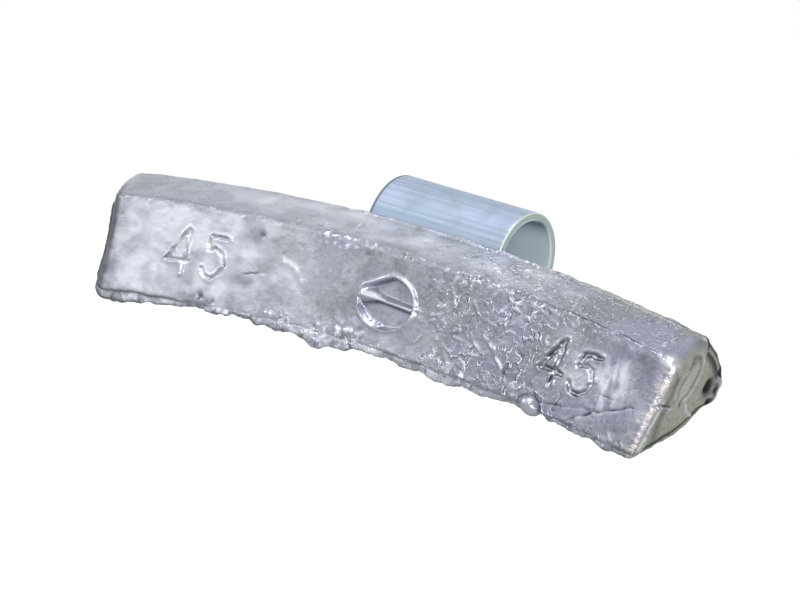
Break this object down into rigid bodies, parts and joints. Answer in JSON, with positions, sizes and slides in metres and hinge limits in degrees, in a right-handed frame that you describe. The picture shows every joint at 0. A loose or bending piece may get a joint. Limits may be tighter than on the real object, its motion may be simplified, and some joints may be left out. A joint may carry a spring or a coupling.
{
  "type": "wheel balance weight",
  "caption": "Curved lead bar with a flat front face, cast around a folded spring steel clip that hooks over the flange of a steel car wheel.",
  "frame": {"origin": "on the axis of the clip's bend, at the middle of the clip's width", "axes": "+X along the bar, +Y from the front face towards the wheel, +Z away from the wheel's axis"},
  "size_m": [0.0601, 0.0151, 0.0179],
  "materials": {
    "as_cast_lead": "as-cast antimonial lead, dull bluish grey, with flow wrinkles and bright worn spots",
    "zinc_plated_spring_steel": "clear-passivated zinc plating, pale blue, satin, with fine lines along the strip's width"
  },
  "bodies": {
    "root": {"lead_body": "as_cast_lead", "spring_clip": "zinc_plated_spring_steel"}
  },
  "joints": []
}
